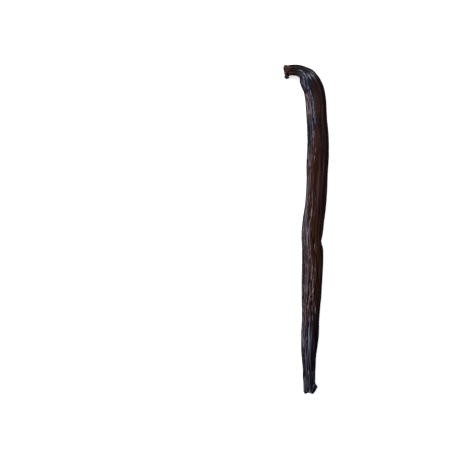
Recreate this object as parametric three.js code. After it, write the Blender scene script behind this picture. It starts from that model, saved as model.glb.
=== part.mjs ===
// A cured vanilla pod, lying on its side.
//
// The long body is slightly bowed and wrinkled along its length. It tapers to the blossom end,
// which flares again into a small ragged rim. At the other end it turns through a right angle
// into a short neck, which ends in the corky scar left by the stalk.
//
// Millimetres, +Z up. z = 0 is the surface that the pod lies on, and +Y runs along the body from
// the blossom end to the bend. The pod is one closed skin: rings of points carried along its
// middle line, closed by a hollowed cap at each end.

import * as THREE from 'three';

// ---- Driving dimensions (mm and degrees) ----------------------------------------------------

// The middle line in plan and the pod's half width there, from the blossom end to the scar.
const STATIONS = [
  [1.8, -74.9, 2.8],
  [1.7, -69.5, 2.55],
  [1.65, -65.5, 2.75],
  [1.4, -60.0, 3.27],
  [1.7, -50.5, 4.03],
  [2.25, -41.0, 4.13],
  [2.5, -29.5, 4.6],
  [3.1, -16.5, 4.9],
  [3.05, -1.0, 5.15],
  [4.25, 9.5, 5.08],
  [4.95, 21.0, 4.97],
  [5.42, 34.0, 5.22],
  [5.1, 49.5, 4.88],
  [3.4, 64.0, 4.95],
  [1.8, 67.6, 4.85],
  [0.2, 70.55, 4.12],
  [-1.3, 71.95, 3.2],
  [-4.0, 73.0, 2.7],
  [-7.4, 73.05, 2.5],
  [-10.1, 72.87, 2.3],
];

const FULL_HALF_WIDTH = 5; // where the pod is plumpest
const THIN_HALF_WIDTH = 2; // at its necks
const FLATNESS_FULL = 0.66; // thickness over width where it is plumpest
const FLATNESS_THIN = 0.88; // and at its necks, which are rounder
const SECTION_POWER = 2.3; // 2 gives an ellipse, more gives a squarer section
const SETTLE = 0.93; // share of the half thickness left under the middle line as it lies flat
const TANGENT_STEP = 0.25; // half the chord that gives the middle line's direction

const BLOSSOM_LIFT = { height: 0.8, length: 16 }; // how the ends rise from the surface
const STEM_LIFT = { height: 0.6, length: 20 };

// Rounded corners, each set with its count and the angle of one corner at the blossom end and at
// the scar: two, because the pod has settled a little to one side, and three, because the fruit
// grows in three parts.
const CORNERS = [
  { count: 2, height: 0.3, angles: [128, 112] },
  { count: 3, height: 0.14, angles: [55, 105] },
];

// Long wrinkles: round ridges with sharp furrows between them. Each set winds slowly round the
// pod and sways from side to side as it goes.
const PLEATS = [
  { count: 7, depth: 0.17, twist: 26, sway: 7, swayLength: 67, phase: 20 },
  { count: 11, depth: 0.15, twist: -19, sway: 5, swayLength: 41, phase: 140 },
  { count: 17, depth: 0.1, twist: 12, sway: 4, swayLength: 29, phase: 250 },
];
const MEAN_PLEAT = 2 / Math.PI; // the mean of a pleat's profile, so that pleats keep the girth
const CROWDING = { amount: 14, drift: 40 }; // ridges crowd together on one side, which drifts round
const TAUT = { span: [74, 152], fade: 14, share: 0.55 }; // where the wrinkles are shallower

// Soft swells along the body, over the packed seeds inside.
const SWELL = { height: 0.1, length: 23, wind: 1.6 };

// Single furrows and ridges, each from one place [distance from the blossom end, angle round
// the pod] to another. Angles run from 0 on the outside of the bend, over 90 on top, to 180.
// A negative height is a furrow.
const FOLDS = [
  { from: [108, 120], to: [131, 96], height: -0.22, width: 0.4 },
  { from: [122, 108], to: [141, 112], height: -0.4, width: 0.4 },
  { from: [100, 60], to: [137, 72], height: -0.35, width: 0.7 },
  { from: [118, 150], to: [145, 140], height: 0.3, width: 1 },
  { from: [60, 118], to: [96, 104], height: -0.18, width: 0.8 },
  { from: [28, 82], to: [58, 96], height: -0.2, width: 0.8 },
  { from: [9, 154], to: [38, 156], height: -0.3, width: 0.4 },
  { from: [8, 66], to: [34, 58], height: -0.4, width: 0.6 },
  { from: [1.5, 103], to: [11, 98], height: 0.38, width: 0.5 },
  { from: [-1.2, 132], to: [3.6, 101], height: 0.35, width: 0.45 },
  { from: [-1.2, 78], to: [3.6, 103], height: 0.35, width: 0.45 },
  { from: [-1.2, 98], to: [5, 22], height: 0.35, width: 0.5 },
  { from: [140, 72], to: [152, 62], height: -0.3, width: 0.6 },
  { from: [140, 130], to: [155, 120], height: -0.35, width: 0.6 },
  { from: [106, 144], to: [128, 155], height: 0.35, width: 0.55 },
  { from: [106, 129], to: [129, 134], height: -0.4, width: 0.4 },
  { from: [138, 129], to: [148, 134], height: 0.3, width: 0.45 },
  { from: [140, 116], to: [149, 93], height: -0.42, width: 0.38 },
  { from: [130, 56], to: [144, 14], height: -0.45, width: 0.4 },
  { from: [124, 129], to: [129, 125], height: 0.25, width: 0.4 },
  { from: [141.5, 35], to: [152, 51], height: 0.32, width: 0.5 },
  { from: [12, 107], to: [37, 105], height: -0.75, width: 0.4 },
];
const FOLD_TAPER = 0.3; // share of a fold's length over which each end fades out

// Sides that lie flatter, where the pod has shrunk or been pressed: the span along the pod, the
// length of the fade at each end, the way the side faces at each end, and how deep it is cut.
const FLATS = [
  { span: [126, 139], fades: [6, 6], facing: [126, 122], cut: 0.17 },
  { span: [36, 72], fades: [10, 12], facing: [117, 117], cut: 0.28 },
  { span: [13, 36], fades: [8, 8], facing: [118, 118], cut: 0.38 },
  { span: [84, 123], fades: [12, 8], facing: [94, 92], cut: 0.5 },
  { span: [145.5, 150], fades: [6, 3], facing: [69, 66], cut: 0.62 },
];
const FLAT_SOFTNESS = 0.22; // how soft the edges of a flat side are
const FLAT_SHARE = 0.8; // how much of what stands out past a flat side is pressed in

// The nick where the pod was once creased across, on its outer side.
const NICK = { distance: 69.4, angle: 0, depth: 1.6, length: 2.6, spread: 42 };

// The pinch on top where the body ends and the neck starts.
const PINCH = { distance: 148.2, angle: 92, depth: 0.3, length: 3.6, spread: 50 };

// Short creases across the inside of the bend.
const CREASES = { distance: 146.5, length: 5, spacing: 2.3, depth: 0.08, angle: 180, spread: 55 };

// The lobes of each end's rim. reach is along the pod, flare is outwards.
const BLOSSOM_LOBES = [
  { angle: 4, spread: 34, reach: -1.8, flare: 0.75 },
  { angle: 72, spread: 26, reach: 1.05, flare: 0.15 },
  { angle: 134, spread: 25, reach: 1.05, flare: 0.25 },
  { angle: 228, spread: 28, reach: 0.3, flare: 0.1 },
  { angle: 296, spread: 30, reach: 0.5, flare: 0.15 },
];
const STEM_LOBES = [
  { angle: 8, spread: 28, reach: -0.1, flare: 0.15 },
  { angle: 72, spread: 24, reach: 0.35, flare: 0.4 },
  { angle: 130, spread: 20, reach: -0.1, flare: 0.2 },
  { angle: 245, spread: 26, reach: 0.15, flare: 0.25 },
  { angle: 305, spread: 24, reach: 0.25, flare: 0.35 },
];
const BLOSSOM_RIM = { reachFade: 5, flareFade: 3.6, cup: 0.9 };
const STEM_RIM = { reachFade: 2, flareFade: 2.4, cup: 0.45 };

// The stub of a bract left beside the scar, on the inside of the bend. head is how much wider its
// round end is than a plain stub, and waist is how much narrower it is below that end.
const STUB = { fromScar: 1.05, angle: 180, height: 1.55, radius: 1.3, sharpness: 5, head: 0.45, waist: 0.3 };
const WAIST_SCALE = 9.5; // brings share * (1 - share)^3 to a height of 1 at its peak

// The mesh: segments round the pod, and rings along it as [from, to, longest step] in mm.
const SEGMENTS = 44;
const RING_SPANS = [
  [0, 8, 0.62],
  [8, 66, 2.15],
  [66, 73, 1.1],
  [73, 138, 2.15],
  [138, 152, 0.95],
  [152, 'scar', 0.5],
];
const CAP_FRACTIONS = [0.8, 0.5, 0.22]; // cap rings, as shares of the end ring's size

const POD_COLOUR = 0x35221d;
const POD_ROUGHNESS = 0.42;

// ---- Small helpers --------------------------------------------------------------------------

const radians = THREE.MathUtils.degToRad;
const fade = (value, start, end) => THREE.MathUtils.smoothstep(value, start, end);

// The difference between two angles, from -PI to PI.
function turnBetween(a, b) {
  const turn = a - b;
  return turn - 2 * Math.PI * Math.round(turn / (2 * Math.PI));
}

// A bell curve of height 1.
const bell = (offset, spread) => Math.exp(-((offset / spread) ** 2));

// 1 over a span, with a smooth side round each of its ends, half in and half out.
function plateau(value, [start, end], [rise, fall]) {
  const before = fade(value, start - rise / 2, start + rise / 2);
  return before * (1 - fade(value, end - fall / 2, end + fall / 2));
}

// The lobes' sum of one quantity at an angle.
function lobeSum(lobes, quantity, angle) {
  let sum = 0;
  for (const lobe of lobes) {
    sum += lobe[quantity] * bell(turnBetween(angle, radians(lobe.angle)), radians(lobe.spread));
  }
  return sum;
}

// ---- The middle line ------------------------------------------------------------------------

const stationDistances = [0];
for (let i = 1; i < STATIONS.length; i++) {
  const [x0, y0] = STATIONS[i - 1];
  const [x1, y1] = STATIONS[i];
  stationDistances.push(stationDistances[i - 1] + Math.hypot(x1 - x0, y1 - y0));
}
const LENGTH = stationDistances.at(-1);
const stations = new THREE.CubicInterpolant(stationDistances, STATIONS.flat(), 3);

const halfWidthAt = (s) => stations.evaluate(s)[2];

function halfThicknessAt(s) {
  const halfWidth = halfWidthAt(s);
  const plumpness = (halfWidth - THIN_HALF_WIDTH) / (FULL_HALF_WIDTH - THIN_HALF_WIDTH);
  return halfWidth * THREE.MathUtils.lerp(FLATNESS_THIN, FLATNESS_FULL, plumpness);
}

function middleAt(s) {
  const [x, y] = stations.evaluate(s);
  const clearance =
    BLOSSOM_LIFT.height * fade(BLOSSOM_LIFT.length - s, 0, BLOSSOM_LIFT.length) +
    STEM_LIFT.height * fade(s, LENGTH - STEM_LIFT.length, LENGTH);
  return new THREE.Vector3(x, y, clearance + SETTLE * halfThicknessAt(s));
}

// The middle line's own axes at a distance: along the pod, out to its side, and up.
function axesAt(s) {
  const ahead = middleAt(Math.min(s + TANGENT_STEP, LENGTH));
  const behind = middleAt(Math.max(s - TANGENT_STEP, 0));
  const along = ahead.sub(behind).normalize();
  const side = new THREE.Vector3().crossVectors(along, new THREE.Vector3(0, 0, 1)).normalize();
  const up = new THREE.Vector3().crossVectors(side, along);
  return { along, side, up };
}

// ---- The skin -------------------------------------------------------------------------------

function cornersAt(s, angle) {
  let height = 0;
  for (const corner of CORNERS) {
    const place = radians(THREE.MathUtils.lerp(...corner.angles, s / LENGTH));
    height += corner.height * Math.cos(corner.count * (angle - place));
  }
  return height;
}

function pleatsAt(s, angle) {
  const crowded = angle + radians(CROWDING.amount) * Math.sin(angle + s / CROWDING.drift);
  const slack = 1 - TAUT.share * plateau(s, TAUT.span, [TAUT.fade, TAUT.fade]);
  let height = 0;
  for (const pleat of PLEATS) {
    const swing = (2 * Math.PI * s) / pleat.swayLength + radians(pleat.phase);
    const sway = pleat.sway * Math.sin(swing);
    const turned = crowded + radians(pleat.phase + (pleat.twist * s) / LENGTH + sway);
    height += slack * pleat.depth * (Math.abs(Math.sin((pleat.count * turned) / 2)) - MEAN_PLEAT);
  }
  return height;
}

function swellAt(s, angle) {
  return SWELL.height * Math.sin((2 * Math.PI * s) / SWELL.length + SWELL.wind * Math.cos(angle));
}

function foldsAt(s, angle, arcPerRadian) {
  let height = 0;
  for (const fold of FOLDS) {
    const [start, startAngle] = fold.from;
    const [end, endAngle] = fold.to;
    const share = (s - start) / (end - start);
    const present = fade(share, 0, FOLD_TAPER) * fade(1 - share, 0, FOLD_TAPER);
    const middle = radians(THREE.MathUtils.lerp(startAngle, endAngle, share));
    const offset = arcPerRadian * turnBetween(angle, middle);
    height += fold.height * present * bell(offset, fold.width);
  }
  return height;
}

function nickAt(s, angle) {
  const along = Math.exp(-Math.abs(s - NICK.distance) / NICK.length);
  return -NICK.depth * along * bell(turnBetween(angle, radians(NICK.angle)), radians(NICK.spread));
}

function pinchAt(s, angle) {
  const round = bell(turnBetween(angle, radians(PINCH.angle)), radians(PINCH.spread));
  return -PINCH.depth * bell(s - PINCH.distance, PINCH.length) * round;
}

function creasesAt(s, angle) {
  const offset = s - CREASES.distance;
  const across = Math.abs(Math.sin((Math.PI * offset) / CREASES.spacing)) - MEAN_PLEAT;
  const round = bell(turnBetween(angle, radians(CREASES.angle)), radians(CREASES.spread));
  return CREASES.depth * across * bell(offset, CREASES.length) * round;
}

// How far up the stub a place lies, from 0 beside it to 1 on its end.
function stubShareAt(s, angle, arcPerRadian) {
  const along = s - (LENGTH - STUB.fromScar);
  const round = arcPerRadian * turnBetween(angle, radians(STUB.angle));
  const offset = Math.hypot(along, round) / STUB.radius;
  return 1 / (1 + offset ** STUB.sharpness);
}

// How much wider than a plain stub it is there.
function stubSwellAt(s, angle, arcPerRadian) {
  const share = stubShareAt(s, angle, arcPerRadian);
  return STUB.head * share ** 3 - STUB.waist * WAIST_SCALE * share * (1 - share) ** 3;
}

// How far the skin stands out from the smooth section at a place on it.
function reliefAt(s, angle, halfWidth, arcPerRadian) {
  const plumpness = halfWidth / FULL_HALF_WIDTH;
  const body = (cornersAt(s, angle) + pleatsAt(s, angle) + swellAt(s, angle)) * plumpness;
  const single =
    foldsAt(s, angle, arcPerRadian) + nickAt(s, angle) + pinchAt(s, angle) + creasesAt(s, angle);
  const blossomFlare = 1 - fade(s, 0, BLOSSOM_RIM.flareFade);
  const stemFlare = fade(s, LENGTH - STEM_RIM.flareFade, LENGTH);
  const flares =
    blossomFlare * lobeSum(BLOSSOM_LOBES, 'flare', angle) +
    stemFlare * lobeSum(STEM_LOBES, 'flare', angle);
  return body + single + flares + STUB.height * stubShareAt(s, angle, arcPerRadian);
}

// A section's point with the flat sides pressed in. Each side's plane lies at the smooth section's
// own reach that way, less the cut, and most of what stands out past the plane is pushed back.
function pressedFlat(s, across, above, halfWidth, halfThickness) {
  const power = SECTION_POWER / (SECTION_POWER - 1);
  for (const flat of FLATS) {
    const share = THREE.MathUtils.clamp(THREE.MathUtils.inverseLerp(...flat.span, s), 0, 1);
    const facing = radians(THREE.MathUtils.lerp(...flat.facing, share));
    const cos = Math.cos(facing);
    const sin = Math.sin(facing);
    const sideways = (halfWidth * Math.abs(cos)) ** power;
    const upwards = (halfThickness * Math.abs(sin)) ** power;
    const present = plateau(s, flat.span, flat.fades);
    const plane = (sideways + upwards) ** (1 / power) - flat.cut * present;
    const excess = across * cos + above * sin - plane;
    const push = (FLAT_SHARE * present * (excess + Math.hypot(excess, FLAT_SOFTNESS))) / 2;
    across -= push * cos;
    above -= push * sin;
  }
  return [across, above];
}

// How far a place is carried along the pod by the lobes of its rims.
function reachAt(s, angle) {
  const blossom = 1 - fade(s, 0, BLOSSOM_RIM.reachFade);
  const stem = fade(s, LENGTH - STEM_RIM.reachFade, LENGTH);
  return stem * lobeSum(STEM_LOBES, 'reach', angle) - blossom * lobeSum(BLOSSOM_LOBES, 'reach', angle);
}

// A point of the skin. size shrinks the ring towards the middle, and hollow moves it along.
function skinPoint(s, angle, size = 1, hollow = 0) {
  const halfWidth = halfWidthAt(s);
  const halfThickness = halfThicknessAt(s);
  const cos = Math.cos(angle);
  const sin = Math.sin(angle);
  const arcPerRadian = Math.hypot(halfWidth * sin, halfThickness * cos);
  const relief = reliefAt(s, angle, halfWidth, arcPerRadian);
  const [across, above] = pressedFlat(
    s,
    Math.sign(cos) * Math.abs(cos) ** (2 / SECTION_POWER) * (halfWidth + relief),
    Math.sign(sin) * Math.abs(sin) ** (2 / SECTION_POWER) * (halfThickness + relief),
    halfWidth,
    halfThickness,
  );
  const swell = stubSwellAt(s, angle, arcPerRadian);
  const spread = swell * (s - LENGTH + STUB.fromScar);
  const { along, side, up } = axesAt(s);
  const point = middleAt(s)
    .addScaledVector(side, across * size)
    .addScaledVector(up, above * size * (1 + swell))
    .addScaledVector(along, reachAt(s, angle) * size ** 2 + hollow + spread);
  point.z = Math.max(point.z, 0);
  return point;
}

function ring(s, size, hollow) {
  const points = [];
  for (let i = 0; i < SEGMENTS; i++) {
    points.push(skinPoint(s, (2 * Math.PI * i) / SEGMENTS, size, hollow));
  }
  return points;
}

// Every ring in order: the blossom end's cap from its middle out, the body, the scar's cap.
function allRings() {
  const rings = [];
  for (const size of CAP_FRACTIONS.toReversed()) {
    rings.push(ring(0, size, BLOSSOM_RIM.cup * (1 - size ** 2)));
  }
  for (const [from, to, longestStep] of RING_SPANS) {
    const end = to === 'scar' ? LENGTH : to;
    const steps = Math.ceil((end - from) / longestStep);
    for (let i = 0; i < steps; i++) {
      rings.push(ring(THREE.MathUtils.lerp(from, end, i / steps), 1, 0));
    }
  }
  rings.push(ring(LENGTH, 1, 0));
  for (const size of CAP_FRACTIONS) {
    rings.push(ring(LENGTH, size, -STEM_RIM.cup * (1 - size ** 2)));
  }
  return rings;
}

function podGeometry() {
  const rings = allRings();
  const blossomMiddle = skinPoint(0, 0, 0, BLOSSOM_RIM.cup);
  const scarMiddle = skinPoint(LENGTH, 0, 0, -STEM_RIM.cup);
  const points = [...rings.flat(), blossomMiddle, scarMiddle];
  const blossomIndex = points.length - 2;
  const scarIndex = points.length - 1;
  const lastRing = (rings.length - 1) * SEGMENTS;
  const faces = [];
  for (let i = 0; i < SEGMENTS; i++) {
    const next = (i + 1) % SEGMENTS;
    faces.push(blossomIndex, i, next);
    faces.push(scarIndex, lastRing + next, lastRing + i);
  }
  for (let r = 0; r < rings.length - 1; r++) {
    for (let i = 0; i < SEGMENTS; i++) {
      const a = r * SEGMENTS + i;
      const b = r * SEGMENTS + ((i + 1) % SEGMENTS);
      faces.push(a, b + SEGMENTS, b);
      faces.push(a, a + SEGMENTS, b + SEGMENTS);
    }
  }
  const geometry = new THREE.BufferGeometry().setFromPoints(points);
  geometry.setIndex(faces);
  geometry.computeVertexNormals();
  return geometry;
}

// ---- The pod --------------------------------------------------------------------------------

const podMaterial = new THREE.MeshStandardMaterial({
  color: POD_COLOUR,
  roughness: POD_ROUGHNESS,
  metalness: 0,
});
const pod = new THREE.Mesh(podGeometry(), podMaterial);
pod.name = 'pod';

const vanillaPod = new THREE.Group();
vanillaPod.name = 'vanilla_pod';
vanillaPod.add(pod);

export default vanillaPod;
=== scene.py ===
"""A cured vanilla pod's skin, worked out as one wrinkled surface over the solid, and its stage.

The surface has two parameters: the distance along the pod's middle line and the angle round it,
which is 0 on the outer side of the bend, 90 on top and 180 on the inner side. It follows the
solid's own form, and adds the fine wrinkles, streaks and lumps of cork that the solid leaves out.
"""

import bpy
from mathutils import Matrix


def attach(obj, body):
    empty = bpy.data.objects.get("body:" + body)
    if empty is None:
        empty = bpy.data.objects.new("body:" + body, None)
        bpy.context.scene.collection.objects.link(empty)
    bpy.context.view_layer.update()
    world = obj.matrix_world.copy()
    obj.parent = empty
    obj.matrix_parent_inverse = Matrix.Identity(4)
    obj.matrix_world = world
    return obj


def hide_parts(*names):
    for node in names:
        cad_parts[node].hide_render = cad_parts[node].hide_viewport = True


bl_info = {
    "name": "Vanilla Pod",
    "version": (1, 0, 0),
    "blender": (4, 5, 0),
    "location": "View3D > Sidebar > Vanilla Pod",
    "description": "Builds a cured vanilla pod's wrinkled skin, with its floor, lights and camera",
    "category": "Object",
}

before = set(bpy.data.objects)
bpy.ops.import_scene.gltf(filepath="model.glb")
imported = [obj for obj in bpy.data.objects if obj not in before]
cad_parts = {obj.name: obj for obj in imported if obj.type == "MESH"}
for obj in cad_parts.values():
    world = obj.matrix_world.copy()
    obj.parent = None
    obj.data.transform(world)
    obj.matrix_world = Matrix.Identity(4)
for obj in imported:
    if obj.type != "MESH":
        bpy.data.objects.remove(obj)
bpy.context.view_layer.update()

import bpy
import numpy as np
from mathutils import Vector

MM = 0.001

# ---- The pod's form, in millimetres and degrees --------------------------------------------------

# The middle line in plan and the half width there, from the blossom end to the scar.
STATIONS = np.array([
    [1.8, -74.9, 2.8],
    [1.7, -69.5, 2.55],
    [1.65, -65.5, 2.75],
    [1.4, -60.0, 3.27],
    [1.7, -50.5, 4.03],
    [2.25, -41.0, 4.13],
    [2.5, -29.5, 4.6],
    [3.1, -16.5, 4.9],
    [3.05, -1.0, 5.15],
    [4.25, 9.5, 5.08],
    [4.95, 21.0, 4.97],
    [5.42, 34.0, 5.22],
    [5.1, 49.5, 4.88],
    [3.4, 64.0, 4.95],
    [1.8, 67.6, 4.85],
    [0.2, 70.55, 4.12],
    [-1.3, 71.95, 3.2],
    [-4.0, 73.0, 2.7],
    [-7.4, 73.05, 2.5],
    [-10.1, 72.87, 2.3],
])
STEPS = np.hypot(*np.diff(STATIONS[:, :2], axis=0).T)
KNOTS = np.concatenate([[0.0], np.cumsum(STEPS)])
LENGTH = KNOTS[-1]

FULL_HALF_WIDTH = 5.0
THIN_HALF_WIDTH = 2.0
FLATNESS_FULL = 0.66
FLATNESS_THIN = 0.88
SECTION_POWER = 2.3
SETTLE = 0.93
TANGENT_STEP = 0.25
BLOSSOM_LIFT = {"height": 0.8, "length": 16.0}
STEM_LIFT = {"height": 0.6, "length": 20.0}

# Rounded corners: how many there are, their height, and the angle of one at each end.
CORNERS = [
    (2, 0.3, 128, 112),
    (3, 0.14, 55, 105),
]
PLEATS = [
    {"count": 7, "depth": 0.17, "twist": 26, "sway": 7, "sway_length": 67, "phase": 20},
    {"count": 11, "depth": 0.15, "twist": -19, "sway": 5, "sway_length": 41, "phase": 140},
    {"count": 17, "depth": 0.1, "twist": 12, "sway": 4, "sway_length": 29, "phase": 250},
]
MEAN_PLEAT = 2 / np.pi
CROWDING = {"amount": 14, "drift": 40}
SWELL = {"height": 0.1, "length": 23.0, "wind": 1.6}

# Single furrows (below zero) and ridges: distance and angle at each end, height, width.
FOLDS = [
    ((108, 120), (131, 96), -0.22, 0.4),
    ((122, 108), (141, 112), -0.4, 0.4),
    ((100, 60), (137, 72), -0.35, 0.7),
    ((118, 150), (145, 140), 0.3, 1.0),
    ((60, 118), (96, 104), -0.18, 0.8),
    ((28, 82), (58, 96), -0.2, 0.8),
    ((9, 154), (38, 156), -0.3, 0.4),
    ((8, 66), (34, 58), -0.4, 0.6),
    ((1.5, 103), (11, 98), 0.38, 0.5),
    ((-1.2, 132), (3.6, 101), 0.35, 0.45),
    ((-1.2, 78), (3.6, 103), 0.35, 0.45),
    ((-1.2, 98), (5.0, 22), 0.35, 0.5),
    ((140, 72), (152, 62), -0.3, 0.6),
    ((140, 130), (155, 120), -0.35, 0.6),
    ((106, 144), (128, 155), 0.35, 0.55),
    ((106, 129), (129, 134), -0.4, 0.4),
    ((138, 129), (148, 134), 0.3, 0.45),
    ((140, 116), (149, 93), -0.42, 0.38),
    ((130, 56), (144, 14), -0.45, 0.4),
    ((124, 129), (129, 125), 0.25, 0.4),
    ((141.5, 35), (152, 51), 0.32, 0.5),
    ((12, 107), (37, 105), -0.75, 0.4),
]
FOLD_TAPER = 0.3
# Sides that lie flatter: distance from and to, length of the fade at each end, the way the side
# faces at each end, and how deep it is cut.
FLATS = [
    ((126, 139), (6, 6), (126, 122), 0.17),
    ((36, 72), (10, 12), (117, 117), 0.28),
    ((13, 36), (8, 8), (118, 118), 0.38),
    ((84, 123), (12, 8), (94, 92), 0.5),
    ((145.5, 150), (6, 3), (69, 66), 0.62),
]
FLAT_SOFTNESS = 0.22
FLAT_SHARE = 0.8  # how much of what stands out past a flat side is pressed in
TAUT = {"start": 74, "end": 152, "fade": 14, "share": 0.55}  # where pleats are shallower
NICK = {"distance": 69.4, "angle": 0, "depth": 1.6, "length": 2.6, "spread": 42}
CREASES = {
    "distance": 146.5, "length": 5, "spacing": 2.3, "depth": 0.08, "angle": 180, "spread": 55,
}
PINCH = {"distance": 148.2, "angle": 92, "depth": 0.3, "length": 3.6, "spread": 50}
STUB = {
    "from_scar": 1.05, "angle": 180, "height": 1.55, "radius": 1.3, "sharpness": 5,
    "head": 0.45, "waist": 0.3,
}
WAIST_SCALE = 9.5  # brings the peak of share times (1 - share) cubed to 1

# The lobes of each end's rim: angle, spread, reach along the pod, flare outwards.
BLOSSOM_LOBES = [
    (4, 34, -1.8, 0.75),
    (72, 26, 1.05, 0.15),
    (134, 25, 1.05, 0.25),
    (228, 28, 0.3, 0.1),
    (296, 30, 0.5, 0.15),
]
STEM_LOBES = [
    (8, 28, -0.1, 0.15),
    (72, 24, 0.35, 0.4),
    (130, 20, -0.1, 0.2),
    (245, 26, 0.15, 0.25),
    (305, 24, 0.25, 0.35),
]
REACH, FLARE = 2, 3  # which of a lobe's values they are
BLOSSOM_RIM = {"reach_fade": 5.0, "flare_fade": 3.6, "cup": 0.9}
STEM_RIM = {"reach_fade": 2.0, "flare_fade": 2.4, "cup": 0.45}

# ---- What the skin adds to that form -------------------------------------------------------------

SEED = 19
# Long wrinkles that run along the pod at about even angles: how many there are, height as a share
# of the wrinkle depth (furrows are below zero), half width in mm, and how much painted shade
# darkens the line.
THREADS = [
    (15, -0.9, 0.32, 0.7),
    (29, -1.0, 0.17, 0.8),
    (17, 0.9, 0.24, 0.0),
    (37, 0.9, 0.16, 0.0),
]
# How far they sway, in degrees, over which lengths, how unevenly they are spaced, and the levels of
# the slow waves between which one fades in.
THREAD_SWAY = {"turn": 6.0, "length": (18.0, 110.0), "uneven": 0.35, "present": (-1.0, 0.7)}
SLOW_WAVES = 5
# Fine wrinkles, as layers of meandering lines: waves round the pod from and to, how fast they drift
# along it in radians per mm, then height, half width and painted shade as above.
WRINKLE_LAYERS = [
    (8, 13, 0.05, -0.5, 0.17, 0.5),
    (12, 20, 0.06, -0.4, 0.13, 0.3),
    (12, 22, 0.06, 0.4, 0.14, 0.0),
]
WAVES_PER_LAYER = 36
# The least slope of a meander that a line's width is taken from, how much faster the meander drifts
# by which lines come and go, and the levels of it between which they fade in.
LAYER_LINES = {"least_slope": 0.5, "presence_drift": 3, "present": (-0.7, 0.9)}
DEEPER = {"angle": 140, "spread": 45, "gain": 0.3}  # where round the pod wrinkles are deeper
THIN_DEPTH = 0.55  # how deep wrinkles are, as a share, where the pod would have no width
# How strong the wrinkles are at places along the pod.
WRINKLE_STRENGTH = {
    "at": (0, 8, 15, 20, 31, 38, 60, 70, 80, 92, 115, 124, 138, 142, 149, 152.5),
    "share": (1.3, 1.8, 1.6, 1.0, 1.0, 1.4, 1.3, 1.1, 0.5, 0.55, 0.7, 0.6, 0.5, 0.2, 0.2, 1.2),
}

# Tinted areas of the skin: tone, distance from and to, length of the fade at each end, angle at
# each end, half their spread round the pod, and strength.
TINTS = [
    ("slate", (5, 31), (5, 6), (106, 111), 31, 1.0),
    ("slate", (15, 22.5), (4, 4), (59, 59), 8, 1.0),
    ("plum", (-9, 26), (4, 10), (65, 65), 400, 0.95),
    ("ash", (7, 11), (4, 7), (90, 90), 400, 0.85),
    ("black", (-9, 4.5), (4, 5), (90, 90), 400, 1.0),
    # Painted shade: black along the left edge towards the blossom end.
    ("black", (-4, 36), (4, 10), (154, 168), 26, 0.95),
    ("black", (141, 149.5), (8, 3), (165, 120), 75, 1.0),
    ("black", (106, 124), (10, 3), (146, 132), 22, 0.9),
    ("black", (121, 146), (3, 10), (111, 117), 16, 0.9),
    ("rose", (116, 135), (8, 6), (152, 150), 24, 1.0),
    ("umber", (42, 78), (10, 8), (82, 82), 38, 1.0),
    ("rose", (32, 86), (10, 10), (145, 142), 32, 0.9),
    # Painted shade: these three lay the darker purple-brown down the outer side, the side away from
    # the key light.
    ("plum", (-5, 150), (4, 6), (-60, -60), 98, 1.0),
    ("plum", (80, 128), (8, 8), (45, 45), 42, 0.7),
    ("plum", (20, 42), (8, 8), (20, 20), 80, 0.9),
    ("plum", (140, 149), (6, 3), (60, 90), 60, 0.7),
    # Painted shade: darker purple-brown on the outer side of the bend.
    ("plum", (130, 152), (8, 3), (10, 20), 45, 0.9),
    ("plum", (147.5, 153), (3, 3), (90, 90), 400, 0.9),
    ("dusk", (116, 147), (16, 6), (60, 60), 75, 1.0),
    ("tan", (147.5, 170), (3, 3), (90, 90), 400, 1.0),
]
# The meander that shifts tinted areas: its waves, drift, reach along in mm and round in degrees.
TINT_STREAK = {"waves": (4, 18), "drift": 0.1, "along": 3.0, "round": 5.0}
TINT_SIDES = (0.6, 1.4)  # where an area's sides start and end, as shares of its half spread
# The tones in the order in which they are laid on, so that a later one covers the rest.
TONES = ("umber", "dusk", "rose", "plum", "tan", "slate", "ash", "black")

# Short streaks: how many, clear of the ends by, length, half width, heights to choose from, slant
# in degrees, and how many lengths each is worked out over.
STREAKS = {
    "count": 260, "clear": (2, 3), "length": (3.0, 14.0), "width": (0.22, 0.5),
    "heights": (-0.13, -0.1, 0.08), "slant": 7.0, "reach": 1.5,
}

# The scar's cork: where it starts and where it is whole, before the end of the neck, the tongues
# of its edge (how many, length, phase), its lumps as meanders (waves from and to, drift, height)
# and how much it smooths the wrinkles.
CORK = {
    "start": 3.6,
    "whole": 1.4,
    "tongues": [(3, 0.3, 0.7), (5, 0.2, 2.1)],
    "lumps": [(2, 6, 1.6, 0.26), (8, 19, 4.0, 0.06)],
    "smoothing": 0.7,
}
# Painted shade in hollows: the fold height below which it darkens them, and gains by fold, streak,
# lump.
HOLLOW_SHADE = {"fold_below": -0.25, "fold": 3.0, "streak": 2.5, "lump": 1.5}

CAP_ROWS = 14
CAP_CENTRE = 0.02  # size of a cap's innermost ring
CAP_POWER = 0.8  # how a cap's rings crowd towards its rim
CAP_DETAIL = 0.5  # share of the detail that is left at a cap's middle, and that moves it along
TOP_CROWDING = 0.3  # how far the points of a ring crowd towards its top, in radians
END_SPACING = 0.32  # share of the body's ring spacing that is kept at the ends
END_REACH = (9, 12)  # how far from the blossom end and from the scar the rings crowd, in mm
SPACING_STEPS = 2000


def fade(value, start, end):
    """Smooth rise from 0 at start to 1 at end: t squared times (3 - 2 t)."""
    t = np.clip((value - start) / (end - start), 0, 1)
    return t * t * (3 - 2 * t)


def turn_between(a, b):
    """The difference of two angles, brought between minus and plus half a turn."""
    turn = a - b
    return turn - 2 * np.pi * np.round(turn / (2 * np.pi))


def bell(offset, spread):
    """A bell curve of height 1: e to the minus (offset over spread) squared."""
    return np.exp(-((offset / spread) ** 2))


def mix(a, b, share):
    """The value a share of the way from a to b."""
    return a + (b - a) * share


def plateau(value, start, end, rise, fall):
    """1 between start and end, with a smooth side round each, half in and half out."""
    risen = fade(value, start - rise / 2, start + rise / 2)
    return risen * (1 - fade(value, end - fall / 2, end + fall / 2))


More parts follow.
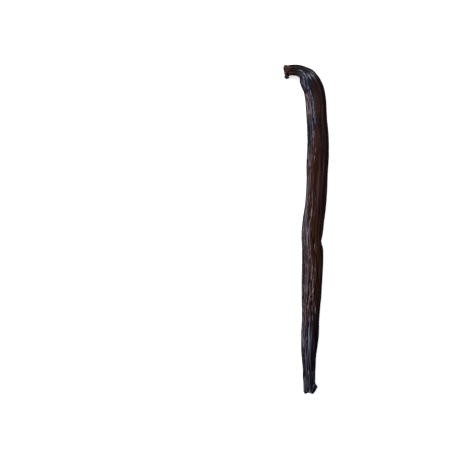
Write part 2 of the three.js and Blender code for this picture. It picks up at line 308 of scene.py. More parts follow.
def stations_at(s):
    """Cubic through the stations: each span is a Hermite curve, and its slope at a station is the
    mean of the slopes of the two spans that meet there."""
    secants = np.diff(STATIONS, axis=0) / STEPS[:, None]
    slopes = np.concatenate([secants[:1], (secants[:-1] + secants[1:]) / 2, secants[-1:]])
    span = np.clip(np.searchsorted(KNOTS, s, side="right") - 1, 0, len(STEPS) - 1)
    step = STEPS[span][..., None]
    p = ((s - KNOTS[span]) / STEPS[span])[..., None]
    rise = p * p * (3 - 2 * p)
    start = STATIONS[span] * (1 - rise) + slopes[span] * step * p * (1 - p) ** 2
    return start + STATIONS[span + 1] * rise - slopes[span + 1] * step * p * p * (1 - p)


def half_sizes_at(s):
    """Half width from the stations, and half thickness, a share of it that falls with plumpness."""
    half_width = stations_at(s)[..., 2]
    plumpness = (half_width - THIN_HALF_WIDTH) / (FULL_HALF_WIDTH - THIN_HALF_WIDTH)
    return half_width, half_width * mix(FLATNESS_THIN, FLATNESS_FULL, plumpness)


def middle_at(s):
    """The middle line: the stations' x and y, and the clearance plus the settled half thickness."""
    place = stations_at(s)
    blossom = BLOSSOM_LIFT["height"] * fade(BLOSSOM_LIFT["length"] - s, 0, BLOSSOM_LIFT["length"])
    stem = STEM_LIFT["height"] * fade(s, LENGTH - STEM_LIFT["length"], LENGTH)
    place[..., 2] = blossom + stem + SETTLE * half_sizes_at(s)[1]
    return place


def axes_at(s):
    """Along: the chord of the middle line round s. Side: along cross up. Up: side cross along."""
    ahead = middle_at(np.minimum(s + TANGENT_STEP, LENGTH))
    along = ahead - middle_at(np.maximum(s - TANGENT_STEP, 0))
    along /= np.linalg.norm(along, axis=-1, keepdims=True)
    side = np.cross(along, [0, 0, 1])
    side /= np.linalg.norm(side, axis=-1, keepdims=True)
    return along, side, np.cross(side, along)


def lobe_sum(lobes, column, angle):
    """The sum over the lobes of one of their sizes times a bell curve of the angle from each."""
    total = 0
    for lobe in lobes:
        middle, spread = np.radians(lobe[:2])
        total = total + lobe[column] * bell(turn_between(angle, middle), spread)
    return total


def body_relief(s, angle):
    """Rounded corners, sets of pleats and soft swells. A pleat's height is the mean taken from the
    absolute sine of half its count times the angle, which is turned and swayed along the pod."""
    height = 0
    for count, size, first, last in CORNERS:
        height = height + size * np.cos(count * (angle - np.radians(mix(first, last, s / LENGTH))))
    crowded = angle + np.radians(CROWDING["amount"]) * np.sin(angle + s / CROWDING["drift"])
    slack = 1 - TAUT["share"] * plateau(s, TAUT["start"], TAUT["end"], TAUT["fade"], TAUT["fade"])
    for pleat in PLEATS:
        swing = 2 * np.pi * s / pleat["sway_length"] + np.radians(pleat["phase"])
        turn = pleat["phase"] + pleat["twist"] * s / LENGTH + pleat["sway"] * np.sin(swing)
        profile = np.abs(np.sin(pleat["count"] * (crowded + np.radians(turn)) / 2))
        height = height + slack * pleat["depth"] * (profile - MEAN_PLEAT)
    swell = np.sin(2 * np.pi * s / SWELL["length"] + SWELL["wind"] * np.cos(angle))
    return height + SWELL["height"] * swell


def fold_relief(s, angle, arc):
    """Each fold is a bell curve across a line that runs from its one end to its other, and fades in
    and out at them. arc is the skin's length for each radian, so that widths are real ones."""
    height = 0
    for (start, start_angle), (end, end_angle), size, width in FOLDS:
        share = (s - start) / (end - start)
        present = fade(share, 0, FOLD_TAPER) * fade(1 - share, 0, FOLD_TAPER)
        offset = arc * turn_between(angle, np.radians(mix(start_angle, end_angle, share)))
        height = height + size * present * bell(offset, width)
    return height


def stub_share(s, angle, arc):
    """How far up the stub a point is: 1 over (1 + a high power of its distance from the middle)."""
    stub_round = arc * turn_between(angle, np.radians(STUB["angle"]))
    distance = np.hypot(s - LENGTH + STUB["from_scar"], stub_round) / STUB["radius"]
    return 1 / (1 + distance ** STUB["sharpness"])


def stub_swell(s, angle, arc):
    """How much wider or narrower the stub is than a plain bump: wider by the cube of the share,
    for its round head, and narrower by the share times the cube of the rest, for its waist."""
    share = stub_share(s, angle, arc)
    return STUB["head"] * share ** 3 - STUB["waist"] * WAIST_SCALE * share * (1 - share) ** 3


def local_relief(s, angle, arc):
    """The nick (a pointed dip along, a bell curve round), the pinch where the neck starts (a bell
    curve both ways), the creases inside the bend (a row of small pleats across) and the stub (a
    round flat-topped bump)."""
    nick_round, pinch_round, crease_round = (
        bell(turn_between(angle, np.radians(mark["angle"])), np.radians(mark["spread"]))
        for mark in (NICK, PINCH, CREASES)
    )
    nick = NICK["depth"] * np.exp(-np.abs(s - NICK["distance"]) / NICK["length"]) * nick_round
    pinch = PINCH["depth"] * bell(s - PINCH["distance"], PINCH["length"]) * pinch_round
    offset = s - CREASES["distance"]
    across = np.abs(np.sin(np.pi * offset / CREASES["spacing"])) - MEAN_PLEAT
    creases = CREASES["depth"] * across * bell(offset, CREASES["length"]) * crease_round
    stub = STUB["height"] * stub_share(s, angle, arc)
    return creases + stub - pinch - nick


def pressed_flat(s, across, above, half_width, half_thickness):
    """The section with its flat sides pressed in. A side's plane faces its own way, at the
    section's support distance less the cut, and what stands out past it, as half of (excess + the
    root of excess squared + softness squared), is pushed back onto it."""
    power = SECTION_POWER / (SECTION_POWER - 1)
    for (start, end), (rise, fall), (first, last), cut in FLATS:
        facing = np.radians(mix(first, last, np.clip((s - start) / (end - start), 0, 1)))
        cos, sin = np.cos(facing), np.sin(facing)
        sideways = (half_width * np.abs(cos)) ** power
        upwards = (half_thickness * np.abs(sin)) ** power
        support = (sideways + upwards) ** (1 / power)
        present = plateau(s, start, end, rise, fall)
        excess = across * cos + above * sin - (support - cut * present)
        push = FLAT_SHARE * present * (excess + np.hypot(excess, FLAT_SOFTNESS)) / 2
        across = across - push * cos
        above = above - push * sin
    return across, above


def rim_flare(s, angle):
    """The ends' lobes, flaring out towards each rim."""
    blossom = (1 - fade(s, 0, BLOSSOM_RIM["flare_fade"])) * lobe_sum(BLOSSOM_LOBES, FLARE, angle)
    stem = fade(s, LENGTH - STEM_RIM["flare_fade"], LENGTH) * lobe_sum(STEM_LOBES, FLARE, angle)
    return blossom + stem


def rim_reach(s, angle):
    """How far the lobes carry each place along the pod, out past its ends."""
    blossom = (1 - fade(s, 0, BLOSSOM_RIM["reach_fade"])) * lobe_sum(BLOSSOM_LOBES, REACH, angle)
    stem = fade(s, LENGTH - STEM_RIM["reach_fade"], LENGTH) * lobe_sum(STEM_LOBES, REACH, angle)
    return stem - blossom


def meander(s, angle, rng, low, high, drift):
    """A random sum of waves, scaled to unit spread: each has a whole number of waves round the pod
    and drifts slowly along it, so that its zero lines wander along the pod and meet."""
    total = np.zeros(np.broadcast(s, angle).shape)
    for _ in range(WAVES_PER_LAYER):
        count = rng.integers(low, high + 1)
        total += np.cos(count * angle + rng.normal(0, drift) * s + rng.uniform(0, 2 * np.pi))
    return total / np.sqrt(WAVES_PER_LAYER / 2)


def slow_waves(s, rng):
    """A random sum of slow waves of the distance along, scaled to unit spread."""
    total = 0
    for _ in range(SLOW_WAVES):
        length = rng.uniform(*THREAD_SWAY["length"])
        phase = rng.uniform(0, 2 * np.pi)
        total = total + np.cos(2 * np.pi * s / length + phase)
    return total / np.sqrt(SLOW_WAVES / 2)


def thread_relief(s, angle, arc, rng):
    """Long wrinkles, and the painted shade that darkens them: a bell curve across each line. A line
    lies at about its share of a turn, sways by slow waves, and comes and goes by others."""
    height, lines = 0, 0
    for count, size, width, shade_share in THREADS:
        for number in range(count):
            place = (number + rng.uniform(-1, 1) * THREAD_SWAY["uneven"]) * 2 * np.pi / count
            path = place + np.radians(THREAD_SWAY["turn"]) * slow_waves(s, rng)
            present = fade(slow_waves(s, rng), *THREAD_SWAY["present"])
            line = present * bell(arc * turn_between(angle, path), width)
            height = height + size * line
            lines = np.maximum(lines, shade_share * line)
    return height, lines


def wrinkle_strength(s):
    """How strong wrinkles and streaks are, between the places that are given."""
    return np.interp(s, WRINKLE_STRENGTH["at"], WRINKLE_STRENGTH["share"])


def wrinkle_relief(s, angle, arc, rng):
    """The long wrinkles, then layers of fine furrows and ridges along the zero lines of meanders,
    and the painted shade that darkens the furrows. The distance to a zero line is the meander over
    its slope round the pod. A slower meander makes each line come and go."""
    height, lines = thread_relief(s, angle, arc, rng)
    for low, high, drift, size, width, shade_share in WRINKLE_LAYERS:
        wave = meander(s, angle, rng, low, high, drift)
        slope = np.gradient(wave, axis=1) / np.gradient(np.unwrap(angle[0]))
        offset = arc * wave / np.maximum(np.abs(slope), LAYER_LINES["least_slope"])
        presence = meander(s, angle, rng, 1, low, LAYER_LINES["presence_drift"] * drift)
        line = fade(presence, *LAYER_LINES["present"]) * bell(offset, width)
        height = height + size * line
        lines = np.maximum(lines, shade_share * line)
    strength = wrinkle_strength(s)
    lines = lines * np.minimum(strength, 1)
    deeper = bell(turn_between(angle, np.radians(DEEPER["angle"])), np.radians(DEEPER["spread"]))
    return height * strength * (1 + DEEPER["gain"] * deeper), lines


def tint_masks(s, angle, rng):
    """How strong each tone is: for each area a plateau along the pod times one round it, with
    smooth sides. They are read at places shifted by a meander, so that areas run out in streaks."""
    shift = meander(s, angle, rng, *TINT_STREAK["waves"], TINT_STREAK["drift"])
    inner, outer = TINT_SIDES
    masks = {}
    for tone, (start, end), (rise, fall), (start_angle, end_angle), spread, strength in TINTS:
        moved = s + TINT_STREAK["along"] * shift
        share = np.clip((s - start) / (end - start), 0, 1)
        offset = np.abs(turn_between(angle, np.radians(mix(start_angle, end_angle, share))))
        offset = np.degrees(offset) + TINT_STREAK["round"] * shift
        around = 1 - fade(offset, inner * spread, outer * spread)
        area = strength * plateau(moved, start, end, rise, fall) * around
        masks[tone] = np.maximum(masks.get(tone, 0), area)
    return masks


def streak_relief(s, angle, arc, rng):
    """Short raised and sunken streaks at random places, each a bell curve across and along."""
    height = np.zeros(np.broadcast(s, angle).shape)
    blossom_clear, scar_clear = STREAKS["clear"]
    for _ in range(STREAKS["count"]):
        centre = rng.uniform(blossom_clear, LENGTH - scar_clear)
        place = rng.uniform(0, 2 * np.pi)
        length = rng.uniform(*STREAKS["length"])
        width = rng.uniform(*STREAKS["width"])
        slant = np.radians(rng.normal(0, STREAKS["slant"]))
        size = rng.choice(STREAKS["heights"])
        rows = np.abs(s[:, 0] - centre) < STREAKS["reach"] * length
        offset = s[rows] - centre
        across = arc[rows] * turn_between(angle, place) + offset * np.tan(slant)
        height[rows] += size * bell(offset, length / 2) * bell(across, width)
    return height


def cork_share(s, angle):
    """How corky the skin is: whole at the scar and its stub, fading up the neck in tongues, which
    are sines of the angle."""
    tongues = sum(
        length * np.sin(count * angle + phase) for count, length, phase in CORK["tongues"]
    )
    return fade(s + tongues, LENGTH - CORK["start"], LENGTH - CORK["whole"])


def pod_rows(count):
    """The rows of the surface, as distance along, size and hollow: the blossom end's cap from its
    middle out, the body, and the scar's cap back to its middle. Rings crowd towards both ends, by a
    falling exponential of the distance from each. A cap is hollowed as 1 less its size squared."""
    fine = np.linspace(0, LENGTH, SPACING_STEPS)
    blossom_reach, scar_reach = END_REACH
    near_end = np.exp(-fine / blossom_reach) + np.exp(-(LENGTH - fine) / scar_reach)
    density = 1 / mix(1.0, END_SPACING, np.clip(near_end, 0, 1))
    travelled = np.concatenate([[0], np.cumsum((density[1:] + density[:-1]) / 2)])
    body = np.interp(np.linspace(0, travelled[-1], count - 2 * CAP_ROWS), travelled, fine)
    cap = np.linspace(0, 1, CAP_ROWS + 1)[1:-1] ** CAP_POWER
    cap = np.concatenate([[CAP_CENTRE], cap])
    distance = np.concatenate([np.zeros(CAP_ROWS), body, np.full(CAP_ROWS, LENGTH)])
    size = np.concatenate([cap, np.ones(len(body)), cap[::-1]])
    cup = np.where(distance > 0, -STEM_RIM["cup"], BLOSSOM_RIM["cup"])
    return distance, size, cup * (1 - size ** 2)


def pod_surface(rows, segments, wrinkle_depth):
    """The skin's points, where they would lie on a straight pod, and its masks, from 0 to 1. A
    point lies off the middle line by (half width + relief) times the cosine of the angle to the
    side, and (half thickness + relief) times the sine upwards, both to a power that squares the
    section. Size shrinks a ring, and hollow and the rims' reach move it along. Nothing goes below
    the surface that the pod lies on."""
    distance, size, hollow = pod_rows(rows)
    s = distance[:, None]
    size = size[:, None]
    hollow = hollow[:, None]
    turn = 2 * np.pi * np.arange(segments) / segments
    angle = (turn + TOP_CROWDING * np.cos(turn))[None, :]
    half_width, half_thickness = half_sizes_at(s)
    arc = np.hypot(half_width * np.sin(angle), half_thickness * np.cos(angle))
    plumpness = half_width / FULL_HALF_WIDTH
    form = body_relief(s, angle) * plumpness + fold_relief(s, angle, arc)
    form = form + local_relief(s, angle, arc) + rim_flare(s, angle)

    rng = np.random.default_rng(SEED)
    wrinkles, furrows = wrinkle_relief(s, angle, arc, rng)
    wrinkles = wrinkle_depth / MM * wrinkles * mix(THIN_DEPTH, 1.0, plumpness)
    streaks = streak_relief(s, angle, arc, rng) * wrinkle_strength(s)
    cork = cork_share(s, angle)
    lumps = cork * sum(
        height * meander(s, angle, rng, low, high, drift)
        for low, high, drift, height in CORK["lumps"]
    )
    detail = (wrinkles + streaks) * (1 - CORK["smoothing"] * cork) + lumps

    detail = detail * mix(CAP_DETAIL, 1.0, size)
    cos = np.sign(np.cos(angle)) * np.abs(np.cos(angle)) ** (2 / SECTION_POWER)
    sin = np.sign(np.sin(angle)) * np.abs(np.sin(angle)) ** (2 / SECTION_POWER)
    across, above = pressed_flat(
        s, cos * (half_width + form), sin * (half_thickness + form), half_width, half_thickness
    )
    across = (across + cos * detail) * size
    swell = stub_swell(s, angle, arc)
    above = (above + sin * detail) * size * (1 + swell)
    along, side, up = axes_at(s)
    points = middle_at(s) + across[..., None] * side + above[..., None] * up
    shift = rim_reach(s, angle) * size ** 2 + hollow + CAP_DETAIL * detail * (1 - size)
    shift = shift + swell * (s - LENGTH + STUB["from_scar"])
    points = points + shift[..., None] * along
    points[..., 2] = np.maximum(points[..., 2], 0)

    straight = np.stack([
        half_width * np.cos(angle) * size,
        half_thickness * np.sin(angle) * size,
        np.broadcast_to(s + hollow, form.shape),
    ], -1)
    # Painted shade: the furrow mask darkens the colour along wrinkle lines, below deep folds, in
    # sunken streaks and between the cork's lumps.
    dip_shade = HOLLOW_SHADE["fold"] * (HOLLOW_SHADE["fold_below"] - fold_relief(s, angle, arc))
    pit_shade = -HOLLOW_SHADE["streak"] * streaks - HOLLOW_SHADE["lump"] * lumps
    furrow = np.clip(np.maximum(furrows * (1 - cork), np.maximum(dip_shade, pit_shade)), 0, 1)
    return points, straight, {"furrow": furrow, "cork": cork, **tint_masks(s, angle, rng)}


def closed_faces(rows, segments):
    """Quads between neighbouring rows, joined round, and a fan of triangles at each end's middle
    point. The two middle points come after the grid's own."""
    row, column = np.meshgrid(np.arange(rows - 1), np.arange(segments), indexing="ij")
    a = (row * segments + column).ravel()
    b = (row * segments + (column + 1) % segments).ravel()
    quads = np.stack([a, a + segments, b + segments, b], 1)
    ring = np.arange(segments)
    following = (ring + 1) % segments
    last = (rows - 1) * segments
    start = np.stack([np.full(segments, rows * segments), ring, following], 1)
    end = np.stack([np.full(segments, rows * segments + 1), last + following, last + ring], 1)
    return quads.tolist() + start.tolist() + end.tolist()


def with_middles(grid):
    """A grid's rows of values as one list, followed by the means of its first and last rows."""
    flat = grid.reshape(-1, *grid.shape[2:])
    return np.concatenate([flat, grid[:1].mean(axis=1), grid[-1:].mean(axis=1)])


def make_object(name, points, faces, material):
    """An object whose place is in its mesh, smooth and with one material."""
    mesh = bpy.data.meshes.new(name)
    mesh.from_pydata(points.tolist(), [], faces)
    mesh.polygons.foreach_set("use_smooth", np.ones(len(mesh.polygons), dtype=bool))
    mesh.materials.append(material)
    mesh.update()
    made = bpy.data.objects.new(name, mesh)
    bpy.context.scene.collection.objects.link(made)
    return made


def add_attribute(made, name, kind, values):
    """A value or vector for each point of the mesh, for the material to read."""
    attribute = made.data.attributes.new(name, kind, "POINT")
    field = "vector" if kind == "FLOAT_VECTOR" else "value"
    attribute.data.foreach_set(field, np.ascontiguousarray(values, dtype=np.float32).ravel())


# ---- Materials -----------------------------------------------------------------------------------

# The inputs of the grain group, with their defaults, and the grains of the skin, with a value for
# each: the noise's fineness, stretch, detail and offset, and the levels of it that become 0 and 1.
GRAIN_INPUTS = {
    "Fineness": 1.0, "Stretch": 10.0, "Detail": 3.0, "Offset": 0.0, "Low": 0.35, "High": 0.65,
}
GRAINS = {
    "broad": (0.42, 16, 3, 0, 0.36, 0.64),
    "narrow": (1.2, 34, 3, 31, 0.44, 0.64),
    "patches": (0.3, 3, 3, 7, 0.35, 0.65),
    "fibres": (4.2, 30, 3, 53, 0.3, 0.7),
    "threads": (2.6, 60, 2, 71, 0.5, 0.68),
    "hairs": (1.9, 36, 2, 113, 0.43, 0.6),
    "cracks": (3.2, 45, 2, 97, 0.52, 0.66),
    "knots": (0.9, 1.3, 4, 17, 0.4, 0.62),
}
THREAD_GAIN = (1.75, 1.7, 1.65)  # what the colour is multiplied by along threads
CRACK_GAIN = (0.5, 0.47, 0.48)  # the same along cracks
# Painted shade in the furrows and hollows: the ramp below multiplies the colour by the furrow mask.
FURROW_SHADE = [(0.05, (1, 1, 1)), (0.8, (0.1, 0.09, 0.12))]  # the same, by how dark a furrow is
GLOSS = (0.11, 0.2)  # roughness of the oily skin, from its shiniest patches to its dullest
DULL = {"tan": 1.0, "ash": 0.4, "cork": 0.85}  # roughness of the dull areas
BUMP = {"Strength": 0.7, "Distance": 0.00002}
SKIN_SPECULAR = 0.35
FLOOR_ROUGHNESS = 0.9
MIX_COLOURS = (6, 7)  # the colour inputs of a Mix node
MIX_RESULT = 2  # its colour output


def add_node(tree, kind, place, inputs=None, **settings):
    """A node of a kind at a place in the tree, with settings and with inputs set or linked."""
    made = tree.nodes.new(kind)
    made.location = place
    for name, value in settings.items():
        setattr(made, name, value)
    for key, value in (inputs or {}).items():
        if isinstance(value, bpy.types.NodeSocket):
            tree.links.new(value, made.inputs[key])
        else:
            made.inputs[key].default_value = value
    return made


def add_ramp(tree, place, value, stops):
    """A colour ramp over a value, from a list of positions and colours."""
    ramp = add_node(tree, "ShaderNodeValToRGB", place, {"Fac": value})
    elements = ramp.color_ramp.elements
    while len(elements) < len(stops):
        elements.new(0.5)
    for element, (position, colour) in zip(elements, stops):
        element.position = position
        element.color = (*colour, 1)
    return ramp.outputs["Color"]


def add_mix(tree, place, share, a, b, blend="MIX"):
    """Two colours mixed by a share, by a link or a plain colour each."""
    colours = {
        socket: value if isinstance(value, bpy.types.NodeSocket) else (*value, 1)
        for socket, value in zip(MIX_COLOURS, (a, b))
    }
    made = add_node(
        tree, "ShaderNodeMix", place, {0: share, **colours}, data_type="RGBA", blend_type=blend
    )
    return made.outputs[MIX_RESULT]


def add_mask(tree, place, name):
    """One of the surface's masks, for a material to read."""
    return add_node(tree, "ShaderNodeAttribute", place, attribute_name=name).outputs["Fac"]


def grain_group():
    """Noise drawn out along the pod's grain. Its coordinates are where a point would lie on a
    straight pod, in mm, times the fineness, with the length axis divided by the stretch."""
    name = "Grain Along"
    if name in bpy.data.node_groups:
        return bpy.data.node_groups[name]
    tree = bpy.data.node_groups.new(name, "ShaderNodeTree")
    for label, default in GRAIN_INPUTS.items():
        socket = tree.interface.new_socket(label, in_out="INPUT", socket_type="NodeSocketFloat")
        socket.default_value = default
    tree.interface.new_socket("Mask", in_out="OUTPUT", socket_type="NodeSocketFloat")
    start = add_node(tree, "NodeGroupInput", (-900, 0)).outputs
    grain = add_node(tree, "ShaderNodeAttribute", (-900, 300), attribute_name="straight")
    parts = add_node(tree, "ShaderNodeSeparateXYZ", (-700, 300), {0: grain.outputs["Vector"]})
    drawn = add_node(
        tree, "ShaderNodeMath", (-500, 200),
        {0: parts.outputs["Z"], 1: start["Stretch"]}, operation="DIVIDE",
    )
    moved = add_node(
        tree, "ShaderNodeMath", (-500, 0),
        {0: drawn.outputs[0], 1: start["Offset"]}, operation="ADD",
    )
    joined = add_node(
        tree, "ShaderNodeCombineXYZ", (-300, 200),
        {0: parts.outputs["X"], 1: parts.outputs["Y"], 2: moved.outputs[0]},
    )
    noise = add_node(
        tree, "ShaderNodeTexNoise", (-100, 200),
        {"Vector": joined.outputs[0], "Scale": start["Fineness"], "Detail": start["Detail"]},
    )
    spread = add_node(
        tree, "ShaderNodeMapRange", (100, 200),
        {"Value": noise.outputs["Fac"], "From Min": start["Low"], "From Max": start["High"]},
        interpolation_type="SMOOTHSTEP",
    )
    add_node(tree, "NodeGroupOutput", (300, 200), {"Mask": spread.outputs["Result"]})
    return tree


def skin_material(colours):
    """Cured skin: red-brown streaked along the grain, bluish black towards both ends, with painted
    shade down the outer side, as a darker purple-brown, and in the furrows and hollows, near black,
    and corky at the scar, with a fine grain of bumps. It has an uneven oily gloss, but is dull at
    the neck, near the blossom end's rim and on the cork."""
    material = bpy.data.materials.new("cured_skin")
    material.use_nodes = True
    tree = material.node_tree
    shader = tree.nodes["Principled BSDF"]

    grains = {}
    for row, (name, values) in enumerate(GRAINS.items()):
        place = (-1400, 1500 - 250 * row)
        grain = add_node(tree, "ShaderNodeGroup", place, node_tree=grain_group())
        for label, value in zip(GRAIN_INPUTS, values):
            grain.inputs[label].default_value = value
        grains[name] = grain.outputs["Mask"]

    masks = {
        name: add_mask(tree, (-1400, -500 - 200 * row), name)
        for row, name in enumerate(("furrow", "cork", *TONES))
    }
    skin = add_mix(tree, (-1100, 500), grains["broad"], colours["deep"], colours["brown"])
    skin = add_mix(tree, (-900, 500), grains["narrow"], skin, colours["warm"])
    for row, tone in enumerate(TONES):
        streaks = grains["hairs"] if tone == "ash" else grains["narrow"]
        place = (-1000, -900 - 200 * row)
        streaky = add_mix(tree, place, streaks, colours[tone], colours[tone + "_light"])
        skin = add_mix(tree, (-800 + 100 * row, 700), masks[tone], skin, streaky)
    skin = add_mix(tree, (100, 600), grains["threads"], skin, THREAD_GAIN, "MULTIPLY")
    skin = add_mix(tree, (200, 600), grains["cracks"], skin, CRACK_GAIN, "MULTIPLY")
    bark = add_mix(tree, (-500, 0), grains["knots"], colours["cork_dark"], colours["cork"])
    colour = add_mix(tree, (300, 500), masks["cork"], skin, bark)
    # Painted shade: the furrow mask darkens the colour in furrows and hollows.
    shade = add_ramp(tree, (-700, -500), masks["furrow"], FURROW_SHADE)
    colour = add_mix(tree, (400, 400), 1.0, colour, shade, "MULTIPLY")

    rough = add_node(
        tree, "ShaderNodeMapRange", (-500, -350),
        {"Value": grains["patches"], "To Min": GLOSS[0], "To Max": GLOSS[1]},
    ).outputs["Result"]
    for row, (name, value) in enumerate(DULL.items()):
        rough = add_mix(tree, (-300 + 100 * row, -300), masks[name], rough, (value, value, value))
    height = add_node(
        tree, "ShaderNodeMath", (-500, -700),
        {0: grains["fibres"], 1: grains["narrow"]}, operation="ADD",
    )
    bump = add_node(tree, "ShaderNodeBump", (-300, -700), {**BUMP, "Height": height.outputs[0]})

    shader.location = (600, 300)
    tree.nodes["Material Output"].location = (900, 300)
    tree.links.new(colour, shader.inputs["Base Color"])
    tree.links.new(rough, shader.inputs["Roughness"])
    tree.links.new(bump.outputs["Normal"], shader.inputs["Normal"])
    shader.inputs["Specular IOR Level"].default_value = SKIN_SPECULAR
    return material


def floor_material(settings):
    """A dull pale floor that glows a little, like a light table, so that shadows stay faint."""
    material = bpy.data.materials.new("pale_floor")
    material.use_nodes = True
    shader = material.node_tree.nodes["Principled BSDF"]
    shader.inputs["Base Color"].default_value = (*settings.floor_colour, 1)
    shader.inputs["Roughness"].default_value = FLOOR_ROUGHNESS
    shader.inputs["Emission Color"].default_value = (*settings.floor_colour, 1)
    shader.inputs["Emission Strength"].default_value = settings.floor_glow
    return material


# ---- Settings ------------------------------------------------------------------------------------

def colour_setting(name, description, default):
    """A colour that can be changed in the panel."""
    return bpy.props.FloatVectorProperty(
        name=name, description=description, subtype="COLOR", size=3, min=0, max=1, default=default
    )


class PodSkinSettings(bpy.types.PropertyGroup):
    """The grid, the wrinkles and the colours of the skin"""

    rows: bpy.props.IntProperty(
        name="Rows", description="Rings of points along the pod, caps included", default=358, min=80
    )
    segments: bpy.props.IntProperty(
        name="Segments", description="Points round each ring", default=276, min=24
    )
    wrinkle_depth: bpy.props.FloatProperty(
        name="Wrinkle Depth", description="Depth of the fine wrinkles",
        subtype="DISTANCE", unit="LENGTH", precision=5, default=0.12 * MM, min=0,
    )
    deep: colour_setting("Deep", "Dark streaks of the body", (0.0145, 0.0055, 0.0038))
    brown: colour_setting("Brown", "Main red-brown of the body", (0.0265, 0.01, 0.0057))
    warm: colour_setting("Warm", "Lighter streaks of the body", (0.045, 0.0183, 0.0112))
    slate: colour_setting("Slate", "Bluish black of the blossom end", (0.006, 0.0068, 0.012))
    slate_light: colour_setting(
        "Light Slate", "Lighter streaks of the blossom end", (0.06, 0.062, 0.094)
    )
    ash: colour_setting(
        "Ash", "Dull bluish black of the blossom end's rim", (0.005, 0.0045, 0.0065)
    )
    ash_light: colour_setting(
        "Light Ash", "Lighter streaks of the blossom end's rim", (0.036, 0.03, 0.041)
    )
    black: colour_setting("Black", "Bluish black of the stem end", (0.006, 0.008, 0.015))
    black_light: colour_setting(
        "Light Black", "Lighter streaks of the stem end", (0.016, 0.021, 0.039)
    )
    # Painted shade as well as tone: this darker purple-brown lies mostly down the outer side, away
    # from the key light.
    plum: colour_setting("Plum", "Dark purple-brown of the outer side", (0.0095, 0.0058, 0.0075))
    plum_light: colour_setting(
        "Light Plum", "Lighter streaks of the outer side", (0.023, 0.0125, 0.014)
    )
    rose: colour_setting("Rose", "Purple-brown of the inner side", (0.022, 0.0115, 0.0125))
    rose_light: colour_setting(
        "Light Rose", "Lighter streaks of the inner side", (0.052, 0.028, 0.029)
    )
    umber: colour_setting(
        "Umber", "Lighter brown along the top of the body", (0.029, 0.0115, 0.007)
    )
    umber_light: colour_setting(
        "Light Umber", "Lighter streaks along the top of the body", (0.062, 0.026, 0.0165)
    )
    dusk: colour_setting("Dusk", "Greyish brown below the bend", (0.019, 0.0098, 0.0088))
    dusk_light: colour_setting(
        "Light Dusk", "Lighter streaks below the bend", (0.055, 0.027, 0.019)
    )
    tan: colour_setting("Tan", "Fibrous brown of the neck", (0.0032, 0.0013, 0.001))
    tan_light: colour_setting("Light Tan", "Lighter fibres of the neck", (0.034, 0.0165, 0.0075))
    cork: colour_setting("Cork", "Raised fibres of the scar", (0.092, 0.034, 0.0145))
    cork_dark: colour_setting("Dark Cork", "Hollows of the scar", (0.014, 0.0045, 0.0028))


class PodStageSettings(bpy.types.PropertyGroup):
    """The floor, the camera and the lights"""

    floor_size: bpy.props.FloatProperty(
        name="Floor Size", description="Side of the square floor",
        subtype="DISTANCE", unit="LENGTH", default=4.0, min=0.5,
    )
    floor_colour: colour_setting("Floor", "Colour of the floor", (0.9, 0.9, 0.9))
    floor_glow: bpy.props.FloatProperty(
        name="Floor Glow", description="Light that the floor gives off to the camera",
        default=0.65, min=0,
    )
    framed_width: bpy.props.FloatProperty(
        name="Framed Width",
        description="Width that the camera takes in at the pod's middle height",
        subtype="DISTANCE", unit="LENGTH", default=0.207, min=0.01,
    )
    lens: bpy.props.FloatProperty(
        name="Lens", description="Focal length", subtype="DISTANCE_CAMERA", default=200, min=20
    )
    key_power: bpy.props.FloatProperty(
        name="Key Power", description="Power of the large light on the left",
        subtype="POWER", default=7.2, min=0,
    )
    top_power: bpy.props.FloatProperty(
        name="Top Power", description="Power of the weak light past the stem end",
        subtype="POWER", default=2.8, min=0,
    )
    sky: bpy.props.FloatProperty(
        name="Sky", description="Strength of the even light from all round", default=0.36, min=0
    )


# ---- Operators -----------------------------------------------------------------------------------

class POD_OT_skin(bpy.types.Operator):
    """Build the pod's wrinkled skin in place of its plain solid"""

    bl_idname = "vanilla_pod.skin"
    bl_label = "Build Skin"

    def execute(self, context):
        settings = context.scene.pod_skin
        points, straight, masks = pod_surface(
            settings.rows, settings.segments, settings.wrinkle_depth
        )
        colours = {
            name: tuple(getattr(settings, name))
            for name, kind in settings.__annotations__.items()
            if kind.function is bpy.props.FloatVectorProperty
        }
        faces = closed_faces(settings.rows, settings.segments)
        skin = make_object("pod_skin", with_middles(points) * MM, faces, skin_material(colours))
        add_attribute(skin, "straight", "FLOAT_VECTOR", with_middles(straight))
        for name, values in masks.items():
            add_attribute(skin, name, "FLOAT", with_middles(values))
        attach(skin, "root")
        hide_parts("pod")
        return {"FINISHED"}


# Each light's place and size in metres, and its colour.
LIGHTS = {
    "key": {"place": (-0.52, 0.2, 0.34), "size": (1.0, 0.27), "colour": (0.94, 0.84, 0.95)},
    "top": {"place": (0.16, 0.53, 0.46), "size": (0.34, 0.26), "colour": (0.8, 0.88, 1.0)},
}
CAMERA_AIM = (-37.3, 1.8, 3.5)  # the point at the middle of the frame, in mm
CAMERA_REACH = 10  # how far the camera sees, in metres
FLOOR_DROP = 0.05  # mm that the floor lies below the pod
SKY_GLOSS = 0.02  # share of the sky's light that reflections show


def add_area_light(name, power):
    """A rectangular area light that faces the origin: its -Z axis points there."""
    values = LIGHTS[name]
    light = bpy.data.lights.new(name, "AREA")
    light.shape = "RECTANGLE"
    light.size, light.size_y = values["size"]
    light.energy = power
    light.color = values["colour"]
    made = bpy.data.objects.new(name, light)
    made.location = values["place"]
    made.rotation_euler = (-Vector(values["place"])).to_track_quat("-Z", "Y").to_euler()
    bpy.context.scene.collection.objects.link(made)


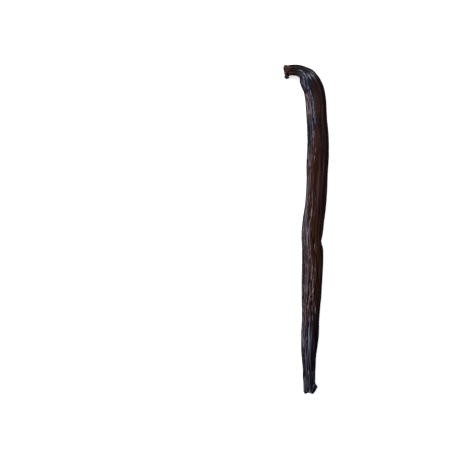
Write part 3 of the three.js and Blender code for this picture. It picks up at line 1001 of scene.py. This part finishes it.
def light_sky(scene, strength):
    """A white sky that shows only faintly in reflections, so that the pod's edges stay dark."""
    world = bpy.data.worlds.new("sky")
    world.use_nodes = True
    tree = world.node_tree
    background = tree.nodes["Background"]
    path = add_node(tree, "ShaderNodeLightPath", (-600, 200))
    seen = add_node(
        tree, "ShaderNodeMapRange", (-300, 0),
        {
            "Value": path.outputs["Is Glossy Ray"],
            "To Min": strength, "To Max": strength * SKY_GLOSS,
        },
    )
    tree.links.new(seen.outputs["Result"], background.inputs["Strength"])
    background.inputs["Color"].default_value = (1, 1, 1, 1)
    scene.world = world


class POD_OT_stage(bpy.types.Operator):
    """Set a pale floor, soft lights and a camera that looks straight down"""

    bl_idname = "vanilla_pod.stage"
    bl_label = "Set Stage"

    def execute(self, context):
        settings = context.scene.pod_stage
        half = settings.floor_size / 2
        corners = np.array([[-half, -half, 0], [half, -half, 0], [half, half, 0], [-half, half, 0]])
        corners[:, 2] = -FLOOR_DROP * MM
        floor = make_object("floor", corners, [[0, 1, 2, 3]], floor_material(settings))
        floor.visible_glossy = False
        floor.visible_diffuse = False

        add_area_light("key", settings.key_power)
        add_area_light("top", settings.top_power)
        light_sky(context.scene, settings.sky)

        camera = bpy.data.objects.new("camera", bpy.data.cameras.new("camera"))
        camera.data.lens = settings.lens
        camera.data.clip_end = CAMERA_REACH
        height = settings.framed_width * settings.lens / camera.data.sensor_width
        x, y, z = (value * MM for value in CAMERA_AIM)
        camera.location = (x, y, z + height)
        context.scene.collection.objects.link(camera)
        context.scene.camera = camera
        context.scene.view_settings.view_transform = "Standard"
        return {"FINISHED"}


class POD_PT_panel(bpy.types.Panel):
    """Lists the settings and the pieces"""

    bl_idname = "POD_PT_panel"
    bl_label = "Vanilla Pod"
    bl_space_type = "VIEW_3D"
    bl_region_type = "UI"
    bl_category = "Vanilla Pod"

    def draw(self, context):
        for settings, operator in (
            (context.scene.pod_skin, POD_OT_skin),
            (context.scene.pod_stage, POD_OT_stage),
        ):
            box = self.layout.box()
            for name in settings.__annotations__:
                box.prop(settings, name)
            box.operator(operator.bl_idname)


CLASSES = (PodSkinSettings, PodStageSettings, POD_OT_skin, POD_OT_stage, POD_PT_panel)


def register():
    for cls in CLASSES:
        bpy.utils.register_class(cls)
    bpy.types.Scene.pod_skin = bpy.props.PointerProperty(type=PodSkinSettings)
    bpy.types.Scene.pod_stage = bpy.props.PointerProperty(type=PodStageSettings)


def unregister():
    del bpy.types.Scene.pod_stage
    del bpy.types.Scene.pod_skin
    for cls in reversed(CLASSES):
        bpy.utils.unregister_class(cls)


def main():
    """Build the skin and the stage."""
    register()
    bpy.ops.vanilla_pod.skin()
    bpy.ops.vanilla_pod.stage()


if __name__ == "__main__":
    main()
